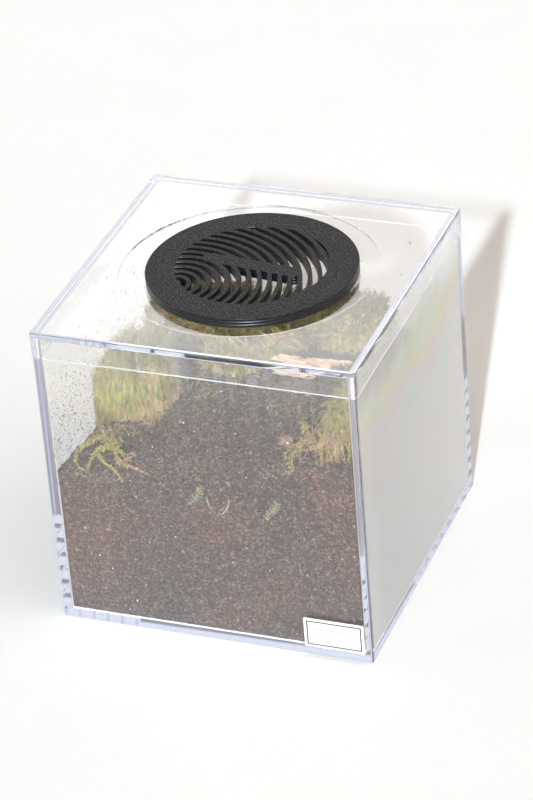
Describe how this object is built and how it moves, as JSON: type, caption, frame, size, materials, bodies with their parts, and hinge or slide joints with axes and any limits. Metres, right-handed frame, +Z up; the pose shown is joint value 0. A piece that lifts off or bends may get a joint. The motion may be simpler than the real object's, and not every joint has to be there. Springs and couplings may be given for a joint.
{
  "type": "terrarium",
  "caption": "Clear plastic terrarium cube with a lift-off lid, a round slotted vent in the lid, sloped soil, moss and a blank label.",
  "frame": {"origin": "on the surface it stands on, under the middle of the box", "axes": "+Z up, -Y out of the labelled front face, +X to the right as seen from the front"},
  "size_m": [0.1022, 0.1022, 0.1048],
  "materials": {
    "clear_plastic": "gloss",
    "printed_plastic": "satin",
    "label_paper": "matte",
    "soil": "matte",
    "moss": "matte",
    "dead_leaf": "matte",
    "green_leaf": "satin",
    "root": "matte"
  },
  "bodies": {
    "box": {"clear_box": "clear_plastic", "label": "label_paper", "substrate": "soil", "moss_left_mound": "moss", "moss_back_left": "moss", "moss_back_middle": "moss", "moss_back_right": "moss", "moss_right_wall": "moss", "moss_left_tuft": "moss", "moss_right_trail": "moss", "dry_leaf": "dead_leaf", "leaf_scrap": "dead_leaf", "sprig_left": "green_leaf", "sprig_middle": "green_leaf", "root_fibre": "root"},
    "lid": {"lid": "clear_plastic"},
    "vent": {"vent_grille": "printed_plastic"}
  },
  "joints": [
    {"name": "lid_lift", "type": "slide", "parent": "box", "child": "lid", "axis": [0, 0, 1], "range_m": [0, 0.06]},
    {"name": "vent_lift", "type": "slide", "parent": "lid", "child": "vent", "axis": [0, 0, 1], "range_m": [0, 0.02]}
  ]
}
